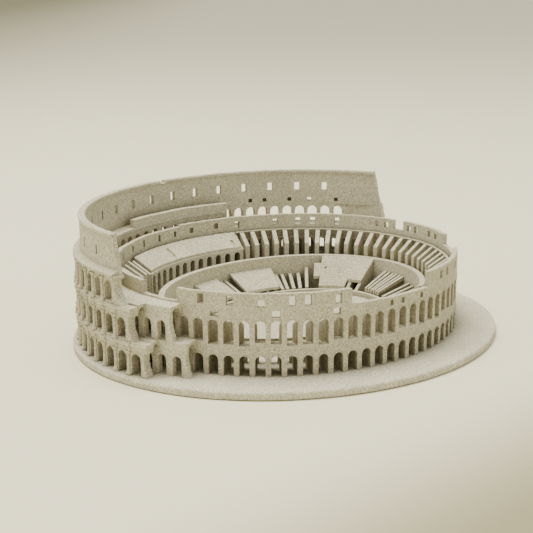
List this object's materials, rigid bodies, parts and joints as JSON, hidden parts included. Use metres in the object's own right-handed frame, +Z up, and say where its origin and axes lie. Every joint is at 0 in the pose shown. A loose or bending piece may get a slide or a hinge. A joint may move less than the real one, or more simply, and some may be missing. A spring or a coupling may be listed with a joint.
{
  "type": "miniature amphitheatre model",
  "caption": "Souvenir model of a ruined oval amphitheatre: a tall arcaded outer wall part-way round, a broken inner facade, radial seat walls and an arena ring on an oval base plate.",
  "frame": {"origin": "middle of the base plate's flat underside", "axes": "+X along the oval's long axis, +Y towards the tall surviving outer wall, +Z up"},
  "size_m": [0.194, 0.174, 0.0569],
  "materials": {
    "base_stone": "matte, fine sandy grain",
    "outer_wall_stone": "matte, fine sandy grain",
    "facade_stone": "matte, fine sandy grain",
    "inner_stone": "matte, fine sandy grain",
    "arena_stone": "matte, fine sandy grain"
  },
  "bodies": {
    "root": {"arena_floor": "arena_stone", "base_plate": "base_stone", "cavea_floor": "inner_stone", "east_spur": "outer_wall_stone", "entablature_ground": "outer_wall_stone", "entablature_second": "outer_wall_stone", "entablature_third": "outer_wall_stone", "facade_ground_east": "facade_stone", "facade_ground_north": "facade_stone", "facade_ground_south": "facade_stone", "facade_ground_west": "facade_stone", "facade_second_east": "facade_stone", "facade_second_north": "facade_stone", "facade_second_south": "facade_stone", "facade_second_west": "facade_stone", "gallery_wall": "inner_stone", "inner_walk_roof_ground": "inner_stone", "inner_walk_roof_second": "inner_stone", "middle_piers": "inner_stone", "middle_wall_ground": "inner_stone", "middle_wall_second": "inner_stone", "middle_wall_third": "inner_stone", "outer_attic": "outer_wall_stone", "outer_coping": "outer_wall_stone", "outer_walk_roof_ground": "outer_wall_stone", "outer_walk_roof_second": "outer_wall_stone", "outer_wall_ground": "outer_wall_stone", "outer_wall_second": "outer_wall_stone", "outer_wall_third": "outer_wall_stone", "podium_wall": "arena_stone", "precinct_gate": "arena_stone", "precinct_wall": "arena_stone", "radial_walls_east": "inner_stone", "radial_walls_ground": "inner_stone", "radial_walls_north": "inner_stone", "radial_walls_seats": "inner_stone", "radial_walls_south": "inner_stone", "radial_walls_west": "inner_stone", "seat_slab": "inner_stone", "stub_walls": "arena_stone", "terrace_roof": "inner_stone", "upper_wall_back": "facade_stone", "upper_wall_back_right": "facade_stone", "upper_wall_front": "facade_stone", "upper_wall_left": "facade_stone", "upper_wall_low_stretches": "facade_stone", "upper_wall_right_high": "facade_stone", "upper_wall_right_low": "facade_stone", "wedge_seats_east": "arena_stone", "wedge_seats_large": "arena_stone", "wedge_seats_north": "arena_stone", "wedge_seats_west": "arena_stone", "wedge_supports": "arena_stone", "west_pier_ground": "outer_wall_stone", "west_pier_second": "outer_wall_stone", "west_pier_third": "outer_wall_stone"}
  },
  "joints": []
}
